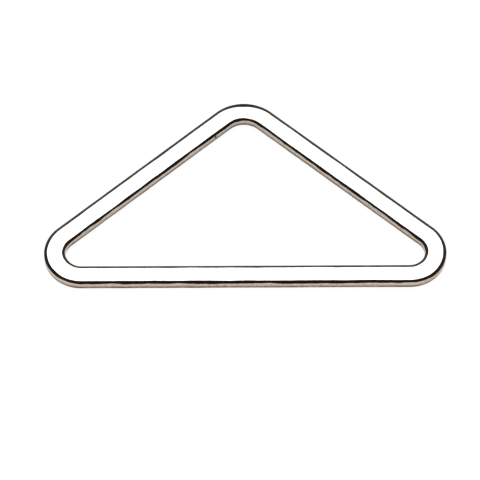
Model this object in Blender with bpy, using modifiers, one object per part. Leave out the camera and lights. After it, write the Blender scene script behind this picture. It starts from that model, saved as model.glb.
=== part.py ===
"""Triangle rack: a flat metal bar bent round a wide isosceles triangle, made as three straight rails and three
bent corners. Each joint is a butt joint over a hidden loose tenon, locked by two set screws from the underside.
Units are metres, +Z is up, +X runs along the base rail, and the origin is on the underside at the middle of the
outer size."""

import math

import bmesh
import bpy
from mathutils import Matrix, Vector

# The triangle, seen from above.
OVERALL_WIDTH = 0.350
BASE_ANGLE = math.radians(41.1)
BASE_BEND_RADIUS = 0.0233  # to the middle of the bar
APEX_BEND_RADIUS = 0.0278
LEG_LENGTH = 0.0173  # straight run of a corner piece past its bend

# Each rail's two joints, as (corner, joint).
RAILS = {
    "base_rail": (("left", "base_left"), ("right", "base_right")),
    "left_rail": (("left", "left_lower"), ("apex", "left_upper")),
    "right_rail": (("right", "right_lower"), ("apex", "right_upper")),
}

# The bar.
BAR_WIDTH = 0.0189
BAR_THICKNESS = 0.0088
EDGE_RADIUS = 0.0022

# The joint.
GAP = 0.0003  # between pieces that touch
TENON_WIDTH = 0.0085
TENON_THICKNESS = 0.0032
TENON_REACH = 0.0115  # from the seam into each piece
TENON_CHAMFER = 0.0004
TENON_HEIGHT = 0.0049  # middle of the tenon above the underside
SCREW_RADIUS = 0.0020
SCREW_OFFSET = 0.0060  # from the seam
SCREW_RECESS = 0.0003
SCREW_TIP_RADIUS = 0.0005
SCREW_TIP_LENGTH = 0.0011
HOLE_OVERRUN = 0.0010  # of the hole's cutter below the underside
SOCKET_ACROSS_FLATS = 0.0020
SOCKET_DEPTH = 0.0012

# Roundness of the meshes.
EDGE_STEPS = 5
BEND_STEP = math.radians(4)
SCREW_STEPS = 24

UP = Vector((0, 0, 1))


def clear_scene():
    for item in list(bpy.data.objects):
        bpy.data.objects.remove(item)


def new_collection(name):
    collection = bpy.data.collections.new(name)
    bpy.context.scene.collection.children.link(collection)
    return collection


def finish(name, colour, roughness, metallic):
    material = bpy.data.materials.new(name)
    material.use_nodes = True
    shader = material.node_tree.nodes["Principled BSDF"]
    shader.inputs["Base Color"].default_value = (*colour, 1)
    shader.inputs["Roughness"].default_value = roughness
    shader.inputs["Metallic"].default_value = metallic
    return material


def link(item, collection, material=None):
    collection.objects.link(item)
    if material:
        item.data.materials.append(material)
    else:
        item.hide_render = True
        item.display_type = "WIRE"
    return item


def triangle():
    """The three corners of the bar's centreline as (name, sharp corner, bend radius), anticlockwise."""
    bend_centre = OVERALL_WIDTH / 2 - BAR_WIDTH / 2 - BASE_BEND_RADIUS
    half_base = bend_centre + BASE_BEND_RADIUS / math.tan(BASE_ANGLE / 2)
    height = half_base * math.tan(BASE_ANGLE)
    top = height - APEX_BEND_RADIUS / math.cos(BASE_ANGLE) + APEX_BEND_RADIUS + BAR_WIDTH / 2
    base_y = -(top - BAR_WIDTH / 2) / 2
    middle = BAR_THICKNESS / 2
    return [
        ("left", Vector((-half_base, base_y, middle)), BASE_BEND_RADIUS),
        ("right", Vector((half_base, base_y, middle)), BASE_BEND_RADIUS),
        ("apex", Vector((0, base_y + height, middle)), APEX_BEND_RADIUS),
    ]


def tangent_length(toward_one, toward_other, radius):
    """From a sharp corner to where its bend of this radius starts."""
    return radius / math.tan(toward_one.angle(toward_other) / 2)


def corner_path(corner, toward_one, toward_other, radius):
    """A leg, the bend and the other leg, along the centreline."""
    angle = toward_one.angle(toward_other)
    tangent = tangent_length(toward_one, toward_other, radius)
    centre = corner + (toward_one + toward_other).normalized() * radius / math.sin(angle / 2)
    start = corner + toward_one * tangent - centre
    turn = math.pi - angle
    steps = math.ceil(turn / BEND_STEP)
    sense = 1 if toward_one.cross(toward_other).z < 0 else -1
    bend = [centre + Matrix.Rotation(sense * turn * i / steps, 3, "Z") @ start for i in range(steps + 1)]
    leg_end = tangent + LEG_LENGTH - GAP / 2
    return [corner + toward_one * leg_end, *bend, corner + toward_other * leg_end]


def rounded_outline(width, height, radius):
    """The points of a rectangle with round corners, middled on the origin."""
    points = []
    for quarter in range(4):
        sign_x, sign_y = ((1, 1), (-1, 1), (-1, -1), (1, -1))[quarter]
        for step in range(EDGE_STEPS + 1):
            angle = math.pi / 2 * (quarter + step / EDGE_STEPS)
            x = sign_x * (width / 2 - radius) + radius * math.cos(angle)
            y = sign_y * (height / 2 - radius) + radius * math.sin(angle)
            points.append(Vector((x, y, 0)))
    return points


def poly_curve(name, points, closed):
    curve = bpy.data.curves.new(name, "CURVE")
    spline = curve.splines.new("POLY")
    spline.points.add(len(points) - 1)
    for slot, point in zip(spline.points, points):
        slot.co = (*point, 1)
    spline.use_cyclic_u = closed
    return curve


def as_mesh(item, name):
    """The evaluated shape as one closed mesh in the item's place, with its end caps welded on."""
    bpy.context.view_layer.update()
    shape = bpy.data.meshes.new_from_object(item.evaluated_get(bpy.context.evaluated_depsgraph_get()))
    shape.transform(item.matrix_world)
    bpy.data.objects.remove(item)
    work = bmesh.new()
    work.from_mesh(shape)
    bmesh.ops.remove_doubles(work, verts=work.verts, dist=1e-6)
    bmesh.ops.recalc_face_normals(work, faces=work.faces)
    work.to_mesh(shape)
    work.free()
    return bpy.data.objects.new(name, shape)


def sweep(name, path, profile, parts):
    """The profile carried along a path that lies level."""
    curve = poly_curve(name, path, closed=False)
    curve.dimensions = "3D"
    curve.twist_mode = "Z_UP"
    curve.bevel_mode = "OBJECT"
    curve.bevel_object = profile
    curve.use_fill_caps = True
    item = bpy.data.objects.new(name, curve)
    parts.objects.link(item)
    return as_mesh(item, name)


def prism(name, outline, half_length, middle, direction, parts):
    """An upright outline drawn out along a level direction, half its length each way from the middle."""
    curve = poly_curve(name, outline, closed=True)
    curve.dimensions = "2D"
    curve.fill_mode = "BOTH"
    curve.extrude = half_length
    item = bpy.data.objects.new(name, curve)
    across = UP.cross(direction)
    upright = Matrix((across, UP, across.cross(UP))).transposed().to_4x4()
    item.matrix_world = Matrix.Translation(middle) @ upright
    parts.objects.link(item)
    return as_mesh(item, name)


def turned(name, profile, foot, material, collection):
    """A round piece from (radius, height) points that run from its top, down its outer side, to its foot."""
    shape = bpy.data.meshes.new(name)
    verts = [(radius, 0, height) for radius, height in profile]
    shape.from_pydata(verts, [(i, i + 1) for i in range(len(verts) - 1)], [])
    item = link(bpy.data.objects.new(name, shape), collection, material)
    item.location = foot
    spin = item.modifiers.new("turn", "SCREW")
    spin.steps = spin.render_steps = SCREW_STEPS
    spin.use_merge_vertices = True
    spin.merge_threshold = 1e-6
    return item


def cut(item, cutter):
    boolean = item.modifiers.new("cut " + cutter.name, "BOOLEAN")
    boolean.operation = "DIFFERENCE"
    boolean.solver = "EXACT"
    boolean.object = cutter


def tenon_at(seam):
    return Vector((seam.x, seam.y, TENON_HEIGHT))


def mortise_cutter(name, seam, direction, cutters):
    """The slot for one tenon, round at both sides, a gap wider and deeper than the tenon all round."""
    outline = rounded_outline(TENON_WIDTH + 2 * GAP, TENON_THICKNESS + 2 * GAP, TENON_THICKNESS / 2 + GAP)
    slot = prism(name, outline, TENON_REACH + GAP, tenon_at(seam), direction, cutters)
    return link(slot, cutters)


def tenon(name, seam, direction, material, parts):
    outline = rounded_outline(TENON_WIDTH, TENON_THICKNESS, TENON_THICKNESS / 2)
    item = link(prism(name, outline, TENON_REACH, tenon_at(seam), direction, parts), parts, material)
    chamfer = item.modifiers.new("chamfered ends", "BEVEL")
    chamfer.width = TENON_CHAMFER
    chamfer.segments = 1
    chamfer.limit_method = "ANGLE"
    chamfer.angle_limit = math.radians(60)
    return item


def screw_profile(spread):
    """Half the outline of a set screw with a cone point, spread wider for the seat that its point sits in."""
    tip_foot = TENON_HEIGHT - TENON_THICKNESS / 2 - GAP
    return [
        (0, tip_foot + SCREW_TIP_LENGTH + spread),
        (SCREW_TIP_RADIUS + spread, tip_foot + SCREW_TIP_LENGTH + spread),
        (SCREW_RADIUS + spread, tip_foot),
        (SCREW_RADIUS + spread, SCREW_RECESS),
        (0, SCREW_RECESS),
    ]


def hole_profile():
    """Half the outline of the straight hole for a set screw, from below the underside into the mortise."""
    return [
        (0, TENON_HEIGHT),
        (SCREW_RADIUS + GAP, TENON_HEIGHT),
        (SCREW_RADIUS + GAP, -HOLE_OVERRUN),
        (0, -HOLE_OVERRUN),
    ]


def set_screw(name, foot, material, parts, cutters):
    item = turned(name, screw_profile(0), foot, material, parts)
    socket = bmesh.new()
    corner_radius = SOCKET_ACROSS_FLATS / 2 / math.cos(math.pi / 6)
    bmesh.ops.create_cone(
        socket, cap_ends=True, segments=6, radius1=corner_radius, radius2=corner_radius, depth=2 * SOCKET_DEPTH
    )
    shape = bpy.data.meshes.new(name + "_socket")
    socket.to_mesh(shape)
    socket.free()
    hexagon = link(bpy.data.objects.new(name + "_socket", shape), cutters)
    hexagon.location = foot + UP * SCREW_RECESS
    cut(item, hexagon)
    return item


def build():
    clear_scene()
    parts = new_collection("triangle_rack")
    cutters = new_collection("cutters")
    nickel = finish("polished_nickel", (0.62, 0.56, 0.48), 0.16, 1)
    steel = finish("bright_steel", (0.50, 0.50, 0.51), 0.35, 1)
    black = finish("blackened_steel", (0.045, 0.045, 0.050), 0.45, 1)

    outline = rounded_outline(BAR_WIDTH, BAR_THICKNESS, EDGE_RADIUS)
    profile = link(bpy.data.objects.new("bar_section", poly_curve("bar_section", outline, closed=True)), cutters)

    corners = triangle()
    toward = {}
    for name, place, _ in corners:
        for other, other_place, _ in corners:
            if other != name:
                toward[name, other] = (other_place - place).normalized()

    bars = {}
    for name, place, radius in corners:
        one, other = (n for n, _, _ in corners if n != name)
        path = corner_path(place, toward[name, one], toward[name, other], radius)
        bars[name] = link(sweep(name + "_corner", path, profile, parts), parts, nickel)

    places = {name: (place, radius) for name, place, radius in corners}
    for rail, joints in RAILS.items():
        ends = [end for end, _ in joints]
        third = next(name for name in places if name not in ends)
        seams = []
        for (end, joint), far in zip(joints, reversed(ends)):
            place, radius = places[end]
            direction = toward[end, far]
            tangent = tangent_length(direction, toward[end, third], radius)
            seams.append((end, joint, place + direction * (tangent + LEG_LENGTH), direction))
        path = [seam + direction * GAP / 2 for _, _, seam, direction in seams]
        bars[rail] = link(sweep(rail, path, profile, parts), parts, nickel)

        for end, joint, seam, direction in seams:
            mortise = mortise_cutter("mortise_" + joint, seam, direction, cutters)
            cut(bars[end], mortise)
            cut(bars[rail], mortise)
            block = tenon("tenon_" + joint, seam, direction, steel, parts)
            for bar, side, sense in ((end, "corner", -1), (rail, "rail", 1)):
                label = f"{joint}_{side}"
                foot = Vector((seam.x, seam.y, 0)) + direction * sense * SCREW_OFFSET
                cut(bars[bar], turned("hole_" + label, hole_profile(), foot, None, cutters))
                cut(block, turned("seat_" + label, screw_profile(GAP), foot, None, cutters))
                set_screw("set_screw_" + label, foot, black, parts, cutters)


build()
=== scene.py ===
import math

import bmesh
import bpy
from mathutils import Matrix, Vector


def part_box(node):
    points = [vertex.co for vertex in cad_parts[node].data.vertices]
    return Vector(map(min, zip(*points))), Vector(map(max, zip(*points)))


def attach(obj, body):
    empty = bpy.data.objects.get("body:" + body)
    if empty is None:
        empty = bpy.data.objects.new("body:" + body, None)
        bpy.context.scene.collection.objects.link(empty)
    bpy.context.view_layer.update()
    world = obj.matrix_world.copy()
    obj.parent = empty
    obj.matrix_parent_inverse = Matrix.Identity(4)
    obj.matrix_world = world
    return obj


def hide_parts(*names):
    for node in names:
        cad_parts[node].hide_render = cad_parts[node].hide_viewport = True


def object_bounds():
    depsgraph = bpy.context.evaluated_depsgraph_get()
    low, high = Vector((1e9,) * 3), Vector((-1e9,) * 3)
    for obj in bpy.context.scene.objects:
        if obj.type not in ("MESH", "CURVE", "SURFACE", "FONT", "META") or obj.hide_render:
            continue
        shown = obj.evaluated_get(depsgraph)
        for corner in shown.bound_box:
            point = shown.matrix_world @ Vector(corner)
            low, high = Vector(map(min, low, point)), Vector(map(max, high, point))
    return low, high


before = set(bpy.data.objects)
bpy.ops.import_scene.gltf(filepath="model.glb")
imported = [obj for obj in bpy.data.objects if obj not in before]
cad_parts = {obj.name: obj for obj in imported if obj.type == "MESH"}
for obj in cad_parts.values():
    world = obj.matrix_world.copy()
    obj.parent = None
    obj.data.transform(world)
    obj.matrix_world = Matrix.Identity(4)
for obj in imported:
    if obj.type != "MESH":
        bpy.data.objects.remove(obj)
cadBox = [list(corner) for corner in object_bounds()]
print("frame loaded with", len(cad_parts), "pieces")

# sizes of the bar, read off the base rail
railLow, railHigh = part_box("base_rail")
barWidth = railHigh.y - railLow.y
barThickness = railHigh.z - railLow.z
baseLineY = (railLow.y + railHigh.y) / 2
outerWidth = cadBox[1][0] - cadBox[0][0]
up = Vector((0, 0, 1))

cameraSetup = {
    "elevation": 57.8,  # degrees above the table
    "azimuth": -1.38,  # degrees round the rack
    "roll": 0.82,
    "distance": 2.913,
    "lens": 250,
    "clip": (0.05, 50),
    "target": (0, 0.0590, 0.0088),  # from the middle line of the base rail
    "aimShift": (-0.0040, -0.0208),  # right and up in the picture, from the target
}


def makeCamera(setup):
    data = bpy.data.cameras.new("camera")
    data.lens = setup["lens"]
    data.clip_start, data.clip_end = setup["clip"]
    camera = bpy.data.objects.new("camera", data)
    bpy.context.scene.collection.objects.link(camera)
    tilt, swing = math.radians(setup["elevation"]), math.radians(setup["azimuth"])
    back = Vector((math.sin(swing) * math.cos(tilt), -math.cos(swing) * math.cos(tilt), math.sin(tilt)))
    right = up.cross(back).normalized()
    over = back.cross(right)
    target = Vector(setup["target"]) + Vector((0, baseLineY, 0))
    place = target + back * setup["distance"]
    aim = target + right * setup["aimShift"][0] + over * setup["aimShift"][1]
    turn = (place - aim).to_track_quat("Z", "Y").to_matrix()
    roll = Matrix.Rotation(math.radians(setup["roll"]), 3, "Z")
    camera.matrix_world = Matrix.Translation(place) @ (turn @ roll).to_4x4()
    bpy.context.scene.camera = camera


def newObject(name, work):
    mesh = bpy.data.meshes.new(name)
    work.to_mesh(mesh)
    work.free()
    item = bpy.data.objects.new(name, mesh)
    bpy.context.scene.collection.objects.link(item)
    return item


# the bar: rings of a rounded section, carried along three rails and three bent corners
rackShape = {
    "baseAngle": 41.1,  # degrees
    "baseBend": 0.0233,  # bend radius to the middle of the bar
    "apexBend": 0.0278,
    "leg": 0.0173,  # straight run of a corner past its bend
    "edgeRadius": 0.0022,
    "edgeSteps": 10,  # facets round each edge
    "faceColumns": 6,
    "wallRows": 4,
    "ringSpacing": 0.0030,
    "bendRings": 2.0,  # degrees of bend between rings
    "waveDepth": 0.00012,  # hand-finished unevenness of the walls
    "waves": ((0.071, 0.45), (0.031, 0.35), (0.0123, 0.20)),  # length and share of each swell
    "waveStarts": {1: 0.3, -1: 2.1},  # sets the outer and the inner wall's swells apart
    "waveStep": 1.7,
    "seam": 0.00001,  # half the hairline between two butted ends
    "seamChamfer": 0.00003,
    "openJoint": ("apex_corner", "left_rail"),  # the joint that shows as a tick on the inner wall
    "openLength": 0.00078,  # along each bar
    "openRunout": 0.00025,  # and then the way back to its plain surface
    "openDepth": 0.00025,
    "openFade": 2.4,  # how fast the opening closes toward the foot
    # the painted dark reflection lines on the rounded edges, by degrees turned from the base: how far they
    # reach onto the top face on the inner and outer side, and how grey they are painted there
    "borders": (
        (0, 0.00085, 0.00090, 1.0, 0.0),
        (90, 0.00085, 0.00090, 0.3, 0.2),
        (138.9, 0.00050, 0.00120, 0.0, 1.0),
        (180, 0.00050, 0.00230, 0.0, 0.2),
    ),
    "borderSlack": 0.5,  # degrees
}


def rackCorners(shape):
    angle = math.radians(shape["baseAngle"])
    bendCentre = outerWidth / 2 - barWidth / 2 - shape["baseBend"]
    halfBase = bendCentre + shape["baseBend"] / math.tan(angle / 2)
    apexY = baseLineY + halfBase * math.tan(angle)
    return {
        "left": (Vector((-halfBase, baseLineY, 0)), shape["baseBend"]),
        "right": (Vector((halfBase, baseLineY, 0)), shape["baseBend"]),
        "apex": (Vector((0, apexY, 0)), shape["apexBend"]),
    }


def straightRun(start, end, spacing):
    count = max(1, round((end - start).length / spacing))
    heading = (end - start).normalized()
    return [(start.lerp(end, i / count), heading) for i in range(count + 1)]


def bendRun(start, heading, radius, turn, degrees):
    count = math.ceil(math.degrees(turn) / degrees)
    centre = start + up.cross(heading) * radius
    run = []
    for i in range(count + 1):
        spin = Matrix.Rotation(turn * i / count, 3, "Z")
        run.append((centre + spin @ (start - centre), spin @ heading))
    return run


def rackPaths(shape):
    corners = rackCorners(shape)
    names = ["left", "right", "apex"]
    paths, ends = {}, {}
    for i, name in enumerate(names):
        place, radius = corners[name]
        before = (place - corners[names[i - 1]][0]).normalized()
        after = (corners[names[(i + 1) % 3]][0] - place).normalized()
        turn = before.angle(after)
        tangent = radius * math.tan(turn / 2)
        legIn = place - before * (tangent + shape["leg"])
        legOut = place + after * (tangent + shape["leg"])
        run = straightRun(legIn, place - before * tangent, shape["ringSpacing"])[:-1]
        run += bendRun(place - before * tangent, before, radius, turn, shape["bendRings"])
        run += straightRun(place + after * tangent, legOut, shape["ringSpacing"])[1:]
        paths[name + "_corner"] = run
        ends[name] = (legIn, legOut)
    rails = (("base_rail", "left", "right"), ("right_rail", "right", "apex"), ("left_rail", "apex", "left"))
    for rail, first, last in rails:
        paths[rail] = straightRun(ends[first][1], ends[last][0], shape["ringSpacing"])
    return paths


def wave(shape, distance, start):
    # a slow, uneven swell between 0 and 1 along the bar
    total = 0
    for k, (length, share) in enumerate(shape["waves"]):
        total += share * math.sin(2 * math.pi * distance / length + start * (shape["waveStep"] + k))
    return 0.5 + 0.5 * total


def bordersAt(shape, heading):
    # inner and outer border, inner and outer greyness of the painted dark edge lines, where the bar runs this
    # way
    turned = math.degrees(heading.angle(Vector((1, 0, 0))))
    for (start, *lower), (end, *upper) in zip(shape["borders"], shape["borders"][1:]):
        if turned <= end + shape["borderSlack"]:
            share = min(1, (turned - start) / (end - start))
            return [one + (other - one) * share for one, other in zip(lower, upper)]


def sectionPoints(shape, distance, shrink=0.0, opening=0.0):
    # round the section from the inner end of the top face, as (outward, height, edge turn, reach, side)
    # edge turn is 0 on the faces and 1 on the walls; reach is the way past the end of the flat face, less
    # than 0 on the face; side is 1 on the outer half and -1 on the inner half
    radius = shape["edgeRadius"] - shrink
    halfW, halfT = barWidth / 2 - shrink, barThickness / 2 - shrink
    flatW, flatT = halfW - radius, halfT - radius
    quarter = radius * math.pi / 2
    starts, depth = shape["waveStarts"], shape["waveDepth"]
    dips = {side: depth * wave(shape, distance, starts[side]) for side in starts}
    dips[-1] += opening * shape["openDepth"]
    columns, rows, steps = shape["faceColumns"], shape["wallRows"], shape["edgeSteps"]
    points = []

    def face(level):
        for i in range(columns):
            spot = -flatW + 2 * flatW * i / columns
            points.append((level * spot, level * halfT, 0, abs(spot) - flatW, math.copysign(1, level * spot)))

    def edge(side, level, rising):
        for i in range(steps):
            turn = i / steps if rising else 1 - i / steps
            angle = turn * math.pi / 2
            outward = side * (flatW + radius * math.sin(angle) - dips[side] * turn)
            points.append((outward, level * (flatT + radius * math.cos(angle)), turn, quarter * turn, side))

    def wall(side):
        for i in range(rows):
            spot = flatT - 2 * flatT * i / rows
            points.append((side * (halfW - dips[side]), side * spot, 1, quarter + flatT - abs(spot), side))

    for half in (1, -1):
        face(half)
        edge(half, half, True)
        wall(half)
        edge(half, -half, False)
    return points


def endStations(station, way, opened, shape):
    # the rings at one end of a bar, from the end inwards: a hairline gap, a chamfer and any opening
    place, heading, distance = station[:3]
    chamfer, length = shape["seamChamfer"], shape["openLength"]
    rings = [(0, chamfer, opened), (chamfer, 0, opened)]
    if opened:
        rings += [(length, 0, True), (length + shape["openRunout"], 0, False)]
    stations = []
    for inset, shrink, opening in rings:
        spot = place + heading * way * (shape["seam"] + inset)
        stations.append((spot, heading, distance, shrink, float(opening)))
    return stations


def barStations(run, shape, openEnds, startDistance):
    # the rings of a bar as (place, heading, distance, shrink, opening), and the distance at its far end
    stations, distance, last = [], startDistance, run[0][0]
    for place, heading in run:
        distance += (place - last).length
        stations.append((place, heading, distance, 0, 0))
        last = place
    start = endStations(stations[0], 1, openEnds[0], shape)
    finish = endStations(stations[-1], -1, openEnds[1], shape)
    return start + stations[1:-1] + finish[::-1], distance


def addSection(work, layers, shape, station):
    # one ring of vertices, which carries what the finish needs to know about its place on the bar
    place, heading, distance, shrink, opening = station
    outwardWay = heading.cross(up)
    innerBorder, outerBorder, innerGrey, outerGrey = bordersAt(shape, heading)
    ring = []
    for outward, height, turn, reach, side in sectionPoints(shape, distance, shrink, opening):
        vert = work.verts.new(place + outwardWay * outward + up * (height + barThickness / 2))
        vert[layers["edgeTurn"]] = turn
        vert[layers["reach"]] = reach
        vert[layers["side"]] = side
        # border and grey set how far the painted dark reflection reaches and how grey it is painted on this
        # side
        vert[layers["border"]] = outerBorder if side > 0 else innerBorder
        vert[layers["grey"]] = outerGrey if side > 0 else innerGrey
        upper = min(1, max(0, 0.5 + shape["openFade"] * height / barThickness))
        vert[layers["opening"]] = opening * turn * upper if side < 0 else 0
        ring.append(vert)
    return ring


def barPiece(name, run, shape, openEnds, startDistance):
    stations, endDistance = barStations(run, shape, openEnds, startDistance)
    work = bmesh.new()
    keys = ("edgeTurn", "reach", "side", "border", "grey", "opening")
    layers = {key: work.verts.layers.float.new(key) for key in keys}
    uvLayer = work.loops.layers.uv.new("grain")
    sections = [addSection(work, layers, shape, station) for station in stations]

    base = sectionPoints(shape, 0)
    girth = [0]
    for here, there in zip(base, base[1:] + base[:1]):
        girth.append(girth[-1] + math.hypot(here[0] - there[0], here[1] - there[1]))
    for s in range(len(sections) - 1):
        near, far = sections[s], sections[s + 1]
        for i in range(len(base)):
            j = (i + 1) % len(base)
            face = work.faces.new((near[i], near[j], far[j], far[i]))
            spots = ((s, i), (s, i + 1), (s + 1, i + 1), (s + 1, i))
            for loop, (station, column) in zip(face.loops, spots):
                loop[uvLayer].uv = (stations[station][2], girth[column])  # metres along and round the bar
    work.faces.new(sections[0][::-1])
    work.faces.new(sections[-1])
    bmesh.ops.recalc_face_normals(work, faces=work.faces)
    return newObject(name, work), endDistance


# what the tenons and set screws need cut out of the bars
jointShape = {
    "mortiseWidth": 0.0091,
    "mortiseHeight": 0.0038,
    "mortiseMiddle": 0.0049,  # above the underside
    "mortiseReach": 0.0118,
    "mortiseSteps": 12,
    "holeRadius": 0.00206,
    "holeFromSeam": 0.0060,
    "holeLip": 0.00030,  # countersink at the mouth
    "holeSteps": 48,
    "sharpAbove": 35,  # degrees between faces
}


def mortiseCutter(seam, heading, joint):
    radius = joint["mortiseHeight"] / 2
    flat = joint["mortiseWidth"] / 2 - radius
    outline = []
    for side in (1, -1):
        for i in range(joint["mortiseSteps"] + 1):
            angle = side * math.pi / 2 - math.pi * i / joint["mortiseSteps"]
            outline.append((side * flat + radius * math.cos(angle), radius * math.sin(angle)))
    across = heading.cross(up)
    rings = []
    for reach in (-joint["mortiseReach"], joint["mortiseReach"]):
        centre = Vector((seam.x, seam.y, joint["mortiseMiddle"])) + heading * reach
        rings.append([centre + across * a + up * h for a, h in outline])
    return newObject("mortiseCut", loftRings(rings, capped=True))


def loftRings(rings, capped=False):
    # skin rings of points, all with as many points, apart from single points that close an end
    work = bmesh.new()
    made = [[work.verts.new(point) for point in ring] for ring in rings]
    steps = max(len(ring) for ring in rings)
    for lower, upper in zip(made, made[1:]):
        for i in range(steps):
            j = (i + 1) % steps
            low, high = len(lower), len(upper)
            corners = [lower[i % low], lower[j % low], upper[j % high], upper[i % high]]
            work.faces.new([vert for k, vert in enumerate(corners) if vert not in corners[:k]])
    if capped:
        work.faces.new(made[0][::-1])
        work.faces.new(made[-1])
    bmesh.ops.recalc_face_normals(work, faces=work.faces)
    return work


def roundRing(radius, height, steps):
    angles = [2 * math.pi * i / steps for i in range(steps)]
    return [(radius * math.cos(t), radius * math.sin(t), height) for t in angles]


def holeCutter(foot, joint):
    radius, lip, steps = joint["holeRadius"], joint["holeLip"], joint["holeSteps"]
    profile = [(radius + lip, -lip), (radius + lip, 0), (radius, lip), (radius, joint["mortiseMiddle"])]
    rings = [roundRing(r, h, steps) for r, h in profile]
    item = newObject("holeCut", loftRings(rings, capped=True))
    item.location = foot
    return item


def subtract(piece, cutters):
    for cutter in cutters:
        cut = piece.modifiers.new("cut", "BOOLEAN")
        cut.operation = "DIFFERENCE"
        cut.solver = "EXACT"
        cut.object = cutter
    bpy.context.view_layer.update()
    solid = bpy.data.meshes.new_from_object(piece.evaluated_get(bpy.context.evaluated_depsgraph_get()))
    piece.modifiers.clear()
    old, piece.data = piece.data, solid
    bpy.data.meshes.remove(old)


def smoothPiece(piece, degrees):
    piece.data.shade_smooth()
    piece.data.set_sharp_from_angle(angle=math.radians(degrees))
    even = piece.modifiers.new("evenNormals", "WEIGHTED_NORMAL")
    even.mode = "FACE_AREA"
    even.keep_sharp = True


def buildBars(shape, joint):
    paths = rackPaths(shape)
    order = [
        ("left_corner", "base_rail"), ("base_rail", "right_corner"), ("right_corner", "right_rail"),
        ("right_rail", "apex_corner"), ("apex_corner", "left_rail"), ("left_rail", "left_corner"),
    ]
    pieces, distance = {}, 0
    for i, (name, following) in enumerate(order):
        openEnds = [pair == shape["openJoint"] for pair in (order[i - 1], (name, following))]
        pieces[name], distance = barPiece("bar_" + name, paths[name], shape, openEnds, distance)
    for first, last in order:
        place, heading = paths[first][-1]
        slot = mortiseCutter(place, heading, joint)
        for name, sense in ((first, -1), (last, 1)):
            foot = place + heading * sense * joint["holeFromSeam"]
            hole = holeCutter(foot, joint)
            subtract(pieces[name], [slot, hole])
            bpy.data.objects.remove(hole)
        bpy.data.objects.remove(slot)
    for name, piece in pieces.items():
        smoothPiece(piece, joint["sharpAbove"])
        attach(piece, "root")
        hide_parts(name)
    print("bars built:", ", ".join(pieces))
    return pieces


# a set screw: threaded body, cone point up into the tenon, hexagon socket facing down
screwShape = {
    "radius": 0.00200,
    "rootRadius": 0.00168,
    "pitch": 0.00070,
    "rowsPerPitch": 8,
    "steps": 48,
    "endChamfer": 0.00035,
    "shoulder": 0.0030,  # height of the foot of the cone point
    "tip": 0.0041,
    "tipRadius": 0.00050,
    "socketFlats": 0.0020,
    "socketMouth": 0.00128,  # radius of the chamfer round the socket
    "socketDepth": 0.0012,
    "socketCone": 0.00035,
    "sharpAbove": 30,  # degrees between faces
    "spin": 2.4,  # radians from one screw to the next, so that no two sockets line up
}


def threadRadius(shape, angle, height, foot):
    # a V thread that runs out into the chamfer at each end
    phase = ((height - foot) / shape["pitch"] - angle / (2 * math.pi)) % 1
    ridge = 1 - abs(2 * phase - 1)
    radius = shape["rootRadius"] + (shape["radius"] - shape["rootRadius"]) * ridge
    ends = min(height - foot, shape["shoulder"] - height)
    return min(radius, shape["radius"] - max(0, shape["endChamfer"] - ends))


def screwMesh(shape, foot):
    steps = shape["steps"]
    angles = [2 * math.pi * i / steps for i in range(steps)]
    sixth = math.pi / 3
    hexRadii = [shape["socketFlats"] / 2 / math.cos((t % sixth) - sixth / 2) for t in angles]

    def hexRing(height):
        return [(r * math.cos(t), r * math.sin(t), height) for r, t in zip(hexRadii, angles)]

    mouthDepth = shape["socketMouth"] - shape["socketFlats"] / 2
    floorHeight = foot + shape["socketDepth"]
    rings = [[(0, 0, floorHeight + shape["socketCone"])]]
    rings.append(hexRing(floorHeight))
    rings.append(hexRing(foot + mouthDepth / 2))
    rings.append(roundRing(shape["socketMouth"], foot, steps))
    rows = round((shape["shoulder"] - foot) / shape["pitch"] * shape["rowsPerPitch"])
    for row in range(rows + 1):
        height = foot + (shape["shoulder"] - foot) * row / rows
        radii = [threadRadius(shape, t, height, foot) for t in angles]
        rings.append([(r * math.cos(t), r * math.sin(t), height) for r, t in zip(radii, angles)])
    rings.append(roundRing(shape["tipRadius"], shape["tip"], steps))
    rings.append([(0, 0, shape["tip"])])
    work = loftRings(rings)
    mesh = bpy.data.meshes.new("setScrew")
    work.to_mesh(mesh)
    work.free()
    mesh.shade_smooth()
    mesh.set_sharp_from_angle(angle=math.radians(shape["sharpAbove"]))
    return mesh


def buildScrews(shape):
    nodes = [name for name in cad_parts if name.startswith("set_screw")]
    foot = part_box(nodes[0])[0].z
    mesh = screwMesh(shape, foot)
    pieces = []
    for i, name in enumerate(nodes):
        low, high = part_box(name)
        piece = bpy.data.objects.new(name.replace("set_screw", "screw"), mesh)
        bpy.context.scene.collection.objects.link(piece)
        spin = Matrix.Rotation(shape["spin"] * i, 4, "Z")
        piece.matrix_world = Matrix.Translation(((low.x + high.x) / 2, (low.y + high.y) / 2, 0)) @ spin
        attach(piece, "root")
        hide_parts(name)
        pieces.append(piece)
    print("set screws built:", len(pieces))
    return pieces


def newMaterial(name):
    material = bpy.data.materials.new(name)
    material.use_nodes = True
    tree = material.node_tree
    return material, tree, tree.nodes["Principled BSDF"]


def put(tree, socket, value):
    if isinstance(value, bpy.types.NodeSocket):
        tree.links.new(value, socket)
    elif value is not None:
        socket.default_value = value


def addNode(tree, kind, inputs=None, **settings):
    node = tree.nodes.new(kind)
    for key, value in settings.items():
        setattr(node, key, value)
    for name, value in (inputs or {}).items():
        put(tree, node.inputs[name], value)
    return node


def attribute(tree, name):
    return addNode(tree, "ShaderNodeAttribute", attribute_name=name).outputs["Fac"]


def noise(tree, vector, scale, detail=2.0, roughness=0.5):
    inputs = {"Vector": vector, "Scale": scale, "Detail": detail, "Roughness": roughness}
    return addNode(tree, "ShaderNodeTexNoise", inputs).outputs["Fac"]


def stretch(tree, vector, scale, rotation=(0, 0, 0)):
    inputs = {"Vector": vector, "Scale": scale, "Rotation": rotation}
    return addNode(tree, "ShaderNodeMapping", inputs).outputs["Vector"]


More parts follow.
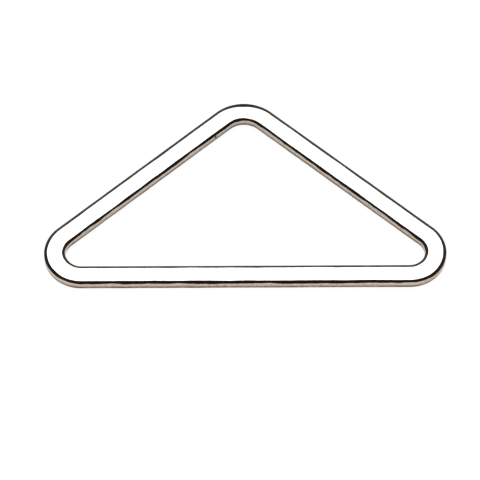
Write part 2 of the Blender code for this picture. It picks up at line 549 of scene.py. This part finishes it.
def remap(tree, value, low, high, toLow=0.0, toHigh=1.0, smooth=False):
    inputs = {"Value": value, "From Min": low, "From Max": high, "To Min": toLow, "To Max": toHigh}
    kind = "SMOOTHSTEP" if smooth else "LINEAR"
    return addNode(tree, "ShaderNodeMapRange", inputs, interpolation_type=kind).outputs["Result"]


def maths(tree, operation, one, other=None):
    node = tree.nodes.new("ShaderNodeMath")
    node.operation = operation
    put(tree, node.inputs[0], one)
    put(tree, node.inputs[1], other)
    return node.outputs["Value"]


def mixColours(tree, factor, one, other):
    node = tree.nodes.new("ShaderNodeMix")
    node.data_type = "RGBA"
    for index, value in ((0, factor), (6, one), (7, other)):
        put(tree, node.inputs[index], (*value, 1) if isinstance(value, tuple) else value)
    return node.outputs[2]


def multiply(tree, one, other):
    return maths(tree, "MULTIPLY", one, other)


def add(tree, one, other):
    return maths(tree, "ADD", one, other)


def bump(tree, height, strength, distance, under=None):
    inputs = {"Height": height, "Strength": strength, "Distance": distance, "Normal": under}
    return addNode(tree, "ShaderNodeBump", inputs).outputs["Normal"]


nickelFinish = {
    "faceColour": (0.70, 0.69, 0.67),
    "faceDeep": (0.655, 0.645, 0.625),
    "faceDepth": 0.8,
    # the walls' colour is the nickel's warm tone with a painted warm reflection and painted shade, in light
    # and deep patches
    "outerWallToneAndReflection": ((0.54, 0.42, 0.33), (0.23, 0.17, 0.125)),  # light and deep patches
    "innerWallToneAndReflection": ((0.49, 0.39, 0.315), (0.18, 0.138, 0.105)),
    "wallTurn": (0.45, 0.95),  # where face turns into wall, by edge turn
    # the deeper band is painted shade along the walls
    "shadeBandHeight": 0.0037,  # a deeper, ragged band runs along the walls at this height
    "shadeBandReach": 0.0014,  # and fades out this far above and below
    "shadeBandDepth": (0.22, -0.10),
    "raggedness": 0.0030,

    # the rounded edges are painted dark: a strong painted reflection line round the top, a faint painted
    # shade line round the underside
    "paintedDarkColour": (0.008, 0.0035, 0.0012),
    # paler painted reflection colours for the dark lines on the inner and outer edges
    "paintedGreyColour": ((0.066, 0.045, 0.030), (0.050, 0.046, 0.040)),  # inner and outer
    "darkEnd": 0.0022,  # past the end of the flat face
    "topsideFrom": (0.49, 0.51),  # the top line gives way to the foot line here, in bar thicknesses
    "footStart": 0.0012,
    "footEnd": 0.0044,
    "footDepth": (0.48, 0.95),
    "softness": 0.00025,
    "wander": 0.00050,  # unevenness of the dark edge's border on the top face
    "rippleShare": 0.3,
    "lowerWander": 0.00050,  # and of its lower border
    # roughness and IOR of the painted dark lines
    "edgeRoughness": 0.45,
    "edgeIor": 1.12,

    "roughness": (0.11, 0.19),
    "undersideRoughness": 0.16,  # added by sliding on the table, up to this height
    "undersideHeight": 0.0002,
    "undersidePatches": (0.6, 1.0),
    "scratchRoughness": 0.05,
    "brushing": (0.10, 0.0001),  # strength and depth of each relief
    "scratches": (0.16, -0.00002),
    "unevenness": (0.2, 0.0003),

    # noise patterns: cells per metre along and round the bar, detail, roughness, slant
    "streaks": (35, 5200, 3.0, 0.5, 0),  # polishing lines along the bar
    "mottle": (300, 500, 4.0, 0.6, 0),
    "lanes": (24, 900, 2.0, 0.5, 0.12),  # a few stray scratches
    "swell": (38, 60, 2.0, 0.5, 0),
    "ripple": (210, 300, 2.0, 0.5, 0),
    "drawn": (52, 30, 2.0, 0.5, 0),
    "breaks": (48, 20, 2.0, 0.5, 0),
    "clouds": (55.0, 4.0),  # cells per metre and detail of the broad patches
    # and the low and high level that each is read between
    "streakLevels": (0.25, 0.75),
    "mottleLevels": (0.38, 0.62),
    "laneLevels": (0.66, 0.70),
    "swellLevels": (0.3, 0.7),
    "rippleLevels": (0.25, 0.75),
    "drawnLevels": (0.35, 0.65),
    "breakLevels": (0.36, 0.64),
    "cloudLevels": (0.33, 0.67),
}


def alongBar(tree, grain, pattern):
    along, across, detail, roughness, slant = pattern
    return noise(tree, stretch(tree, grain, (along, across, 1), (0, 0, slant)), 1.0, detail, roughness)


def nickelAndWallReflection(tree, look, bar):
    # cloudy faces, and walls in the nickel's warm tone with a painted warm reflection, mottled, with a deeper
    # band of painted shade
    cloudy = multiply(tree, bar["clouds"], look["faceDepth"])
    face = mixColours(tree, cloudy, look["faceColour"], look["faceDeep"])
    mottle = alongBar(tree, bar["grain"], look["mottle"])
    ragged = remap(tree, mottle, 0, 1, -look["raggedness"] / 2, look["raggedness"] / 2)
    aboveBand = maths(tree, "SUBTRACT", add(tree, bar["height"], ragged), look["shadeBandHeight"])
    offBand = maths(tree, "ABSOLUTE", aboveBand)
    band = remap(tree, offBand, 0, look["shadeBandReach"], *look["shadeBandDepth"], smooth=True)
    wallShade = remap(tree, add(tree, mottle, band), *look["mottleLevels"], smooth=True)
    outerWallToneAndReflection, innerWallToneAndReflection = (mixColours(tree, wallShade, *look[key]) for key in ("outerWallToneAndReflection", "innerWallToneAndReflection"))
    wall = mixColours(tree, bar["outer"], innerWallToneAndReflection, outerWallToneAndReflection)
    return mixColours(tree, remap(tree, bar["turn"], *look["wallTurn"], smooth=True), face, wall)


def paintedDarkLines(tree, look, bar):
    # how dark each spot is painted, from 0 to 1: the painted reflection line round the top, the painted shade
    # line round the foot and the open joint
    ripple = alongBar(tree, bar["grain"], look["ripple"])
    share = look["rippleShare"]
    drift = remap(tree, bar["swell"], *look["swellLevels"], -1, 1)
    drift = add(tree, drift, remap(tree, ripple, *look["rippleLevels"], -share, share))
    shifted = add(tree, bar["reach"], multiply(tree, drift, look["wander"] / 2))
    drawn = alongBar(tree, bar["grain"], look["drawn"])
    lowerDrift = remap(tree, drawn, *look["drawnLevels"], -look["lowerWander"], look["lowerWander"])
    lower = add(tree, bar["reach"], lowerDrift)

    # the top line is a painted dark reflection on the rounded top edge
    soft = look["softness"]
    topside = remap(tree, bar["height"], *(barThickness * part for part in look["topsideFrom"]))
    pastBorder = add(tree, shifted, attribute(tree, "border"))
    begins = remap(tree, pastBorder, -soft / 2, soft / 2, smooth=True)
    ends = remap(tree, lower, look["darkEnd"] - soft, look["darkEnd"] + soft, 1.0, 0.0, smooth=True)
    topLine = multiply(tree, multiply(tree, begins, ends), topside)

    # the foot line is painted shade on the rounded underside edge
    footBegins = remap(tree, shifted, look["footStart"] - soft, look["footStart"] + soft, smooth=True)
    footEnds = remap(tree, shifted, look["footEnd"] - soft, look["footEnd"] + soft, 1.0, 0.0, smooth=True)
    underside = maths(tree, "SUBTRACT", 1.0, topside)
    footLine = multiply(tree, multiply(tree, footBegins, footEnds), underside)
    breaks = alongBar(tree, bar["grain"], look["breaks"])
    footLine = multiply(tree, footLine, remap(tree, breaks, *look["breakLevels"], *look["footDepth"]))
    return maths(tree, "MAXIMUM", maths(tree, "MAXIMUM", topLine, footLine), attribute(tree, "opening"))


def nickelMaterial(look):
    material, tree, shader = newMaterial("polished nickel")
    grain = addNode(tree, "ShaderNodeUVMap", uv_map="grain").outputs["UV"]
    place = addNode(tree, "ShaderNodeTexCoord").outputs["Object"]
    height = addNode(tree, "ShaderNodeSeparateXYZ", {"Vector": place}).outputs["Z"]
    bar = {"grain": grain, "height": height}
    bar["turn"] = attribute(tree, "edgeTurn")
    bar["reach"] = attribute(tree, "reach")
    bar["outer"] = remap(tree, attribute(tree, "side"), -1, 1)
    bar["clouds"] = remap(tree, noise(tree, place, *look["clouds"]), *look["cloudLevels"], smooth=True)
    bar["swell"] = alongBar(tree, grain, look["swell"])

    metalAndReflection = nickelAndWallReflection(tree, look, bar)
    dark = paintedDarkLines(tree, look, bar)
    # the painted dark lines' colour, near black or a paler painted grey reflection; where painted dark the
    # bar is not metal
    paintedGreyColour = mixColours(tree, bar["outer"], *look["paintedGreyColour"])
    edge = mixColours(tree, attribute(tree, "grey"), look["paintedDarkColour"], paintedGreyColour)
    put(tree, shader.inputs["Base Color"], mixColours(tree, dark, metalAndReflection, edge))
    put(tree, shader.inputs["Metallic"], maths(tree, "SUBTRACT", 1.0, dark))
    shader.inputs["IOR"].default_value = look["edgeIor"]

    streaks = alongBar(tree, grain, look["streaks"])
    scratches = remap(tree, alongBar(tree, grain, look["lanes"]), *look["laneLevels"])
    scuffs = remap(tree, height, look["undersideHeight"], 0.0, 0.0, look["undersideRoughness"])
    patches = remap(tree, bar["clouds"], 0, 1, *look["undersidePatches"])
    polish = remap(tree, streaks, *look["streakLevels"], *look["roughness"])
    polish = add(tree, polish, multiply(tree, scuffs, patches))
    polish = add(tree, polish, multiply(tree, scratches, look["scratchRoughness"]))
    edgeRough = multiply(tree, dark, look["edgeRoughness"])
    put(tree, shader.inputs["Roughness"], maths(tree, "MAXIMUM", polish, edgeRough))

    lines = bump(tree, streaks, *look["brushing"])
    scored = bump(tree, scratches, *look["scratches"], lines)
    put(tree, shader.inputs["Normal"], bump(tree, bar["swell"], *look["unevenness"], scored))
    return material


tenonFinish = {
    "colour": (0.42, 0.42, 0.43),
    "grainColour": (0.30, 0.30, 0.31),
    "roughness": (0.28, 0.42),
    "grain": (900, 900, 5000),
    "detail": 4.0,
    "grainLevels": (0.3, 0.7),
    "relief": (0.2, 0.0001),
}


def tenonMaterial(look):
    material, tree, shader = newMaterial("drawn steel")
    place = addNode(tree, "ShaderNodeTexCoord").outputs["Object"]
    grain = noise(tree, stretch(tree, place, look["grain"]), 1.0, look["detail"])
    put(tree, shader.inputs["Base Color"], mixColours(tree, grain, look["colour"], look["grainColour"]))
    put(tree, shader.inputs["Roughness"], remap(tree, grain, *look["grainLevels"], *look["roughness"]))
    shader.inputs["Metallic"].default_value = 1.0
    put(tree, shader.inputs["Normal"], bump(tree, grain, *look["relief"]))
    return material


screwFinish = {
    "colour": (0.030, 0.030, 0.033),
    "wornColour": (0.22, 0.215, 0.21),
    "roughness": (0.30, 0.50),
    "speckle": (2600.0, 4.0, 0.6),
    "speckLevels": (0.3, 0.7),
    "wornLevels": (0.52, 0.62),  # of the corners that stand out
    "wornSpecks": (0.4, 0.6),
    "relief": (0.15, 0.00005),
}


def screwMaterial(look):
    material, tree, shader = newMaterial("blackened steel")
    place = addNode(tree, "ShaderNodeTexCoord").outputs["Object"]
    specks = noise(tree, place, *look["speckle"])
    corners = addNode(tree, "ShaderNodeNewGeometry").outputs["Pointiness"]
    worn = multiply(tree, remap(tree, corners, *look["wornLevels"]), remap(tree, specks, *look["wornSpecks"]))
    put(tree, shader.inputs["Base Color"], mixColours(tree, worn, look["colour"], look["wornColour"]))
    put(tree, shader.inputs["Roughness"], remap(tree, specks, *look["speckLevels"], *look["roughness"]))
    shader.inputs["Metallic"].default_value = 1.0
    put(tree, shader.inputs["Normal"], bump(tree, specks, *look["relief"]))
    return material


def paint(piece, material):
    piece.data.materials.clear()
    piece.data.materials.append(material)


stageSetup = {
    "floorSize": 12,
    "floorDrop": 0.0001,
    "floorColour": 0.20,
    "floorRoughness": 0.9,
    "floorGlow": 0.86,
    "backdrop": 1.03,  # behind everything, as the camera sees it
    "horizonLight": 0.62,
    "zenithLight": 0.95,
    "zenithClimb": 0.8,
    "panels": (0.72, 1.30),  # the room's dimmest and brightest patches, against its average
    "panelNoise": (2.3, 1.0),
    "panelLevels": (0.35, 0.65),
    "softboxLight": 1.55,  # radiance
    "softboxSize": (1.7, 1.5),
    "softboxDistance": 2.0,
    "softboxElevation": 60,
}


def buildFloor(setup):
    bpy.ops.mesh.primitive_plane_add(size=setup["floorSize"], location=(0, 0, -setup["floorDrop"]))
    floor = bpy.context.object
    floor.name = "tableTop"
    material, tree, shader = newMaterial("pale table")
    shader.inputs["Base Color"].default_value = (setup["floorColour"],) * 3 + (1,)
    shader.inputs["Roughness"].default_value = setup["floorRoughness"]
    shader.inputs["Specular IOR Level"].default_value = 0.0
    shader.inputs["Emission Color"].default_value = (1, 1, 1, 1)
    shader.inputs["Emission Strength"].default_value = setup["floorGlow"]
    paint(floor, material)


def buildLight(setup):
    data = bpy.data.lights.new("softbox", "AREA")
    data.shape = "RECTANGLE"
    data.size, data.size_y = setup["softboxSize"]
    data.energy = setup["softboxLight"] * math.pi * data.size * data.size_y
    softbox = bpy.data.objects.new("softbox", data)
    bpy.context.scene.collection.objects.link(softbox)
    angle = math.radians(setup["softboxElevation"])
    way = Vector((0, math.cos(angle), math.sin(angle)))
    facing = way.to_track_quat("Z", "Y").to_matrix().to_4x4()
    softbox.matrix_world = Matrix.Translation(way * setup["softboxDistance"]) @ facing

    # the room gets brighter from the horizon up; straight behind the rack it is plain white
    world = bpy.data.worlds.new("studio")
    world.use_nodes = True
    tree = world.node_tree
    direction = addNode(tree, "ShaderNodeTexCoord").outputs["Generated"]
    climb = addNode(tree, "ShaderNodeSeparateXYZ", {"Vector": direction}).outputs["Z"]
    light = (setup["horizonLight"], setup["zenithLight"])
    room = remap(tree, climb, 0.0, setup["zenithClimb"], *light, smooth=True)
    patches = noise(tree, direction, *setup["panelNoise"])
    room = multiply(tree, room, remap(tree, patches, *setup["panelLevels"], *setup["panels"], smooth=True))
    straight = addNode(tree, "ShaderNodeLightPath").outputs["Is Camera Ray"]
    away = maths(tree, "SUBTRACT", 1.0, straight)
    behind = multiply(tree, straight, setup["backdrop"])
    strength = add(tree, multiply(tree, room, away), behind)
    put(tree, tree.nodes["Background"].inputs["Strength"], strength)
    tree.nodes["Background"].inputs["Color"].default_value = (1, 1, 1, 1)
    bpy.context.scene.world = world
    bpy.context.scene.view_settings.view_transform = "Standard"
    bpy.context.scene.view_settings.look = "None"


makeCamera(cameraSetup)
bars = buildBars(rackShape, jointShape)
nickel = nickelMaterial(nickelFinish)
for bar in bars.values():
    paint(bar, nickel)
screws = buildScrews(screwShape)
paint(screws[0], screwMaterial(screwFinish))  # the screws share one mesh
drawnSteel = tenonMaterial(tenonFinish)
for name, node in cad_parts.items():
    if name.startswith("tenon"):
        paint(node, drawnSteel)
print("finishes on")
buildFloor(stageSetup)
buildLight(stageSetup)
print("stage lit")
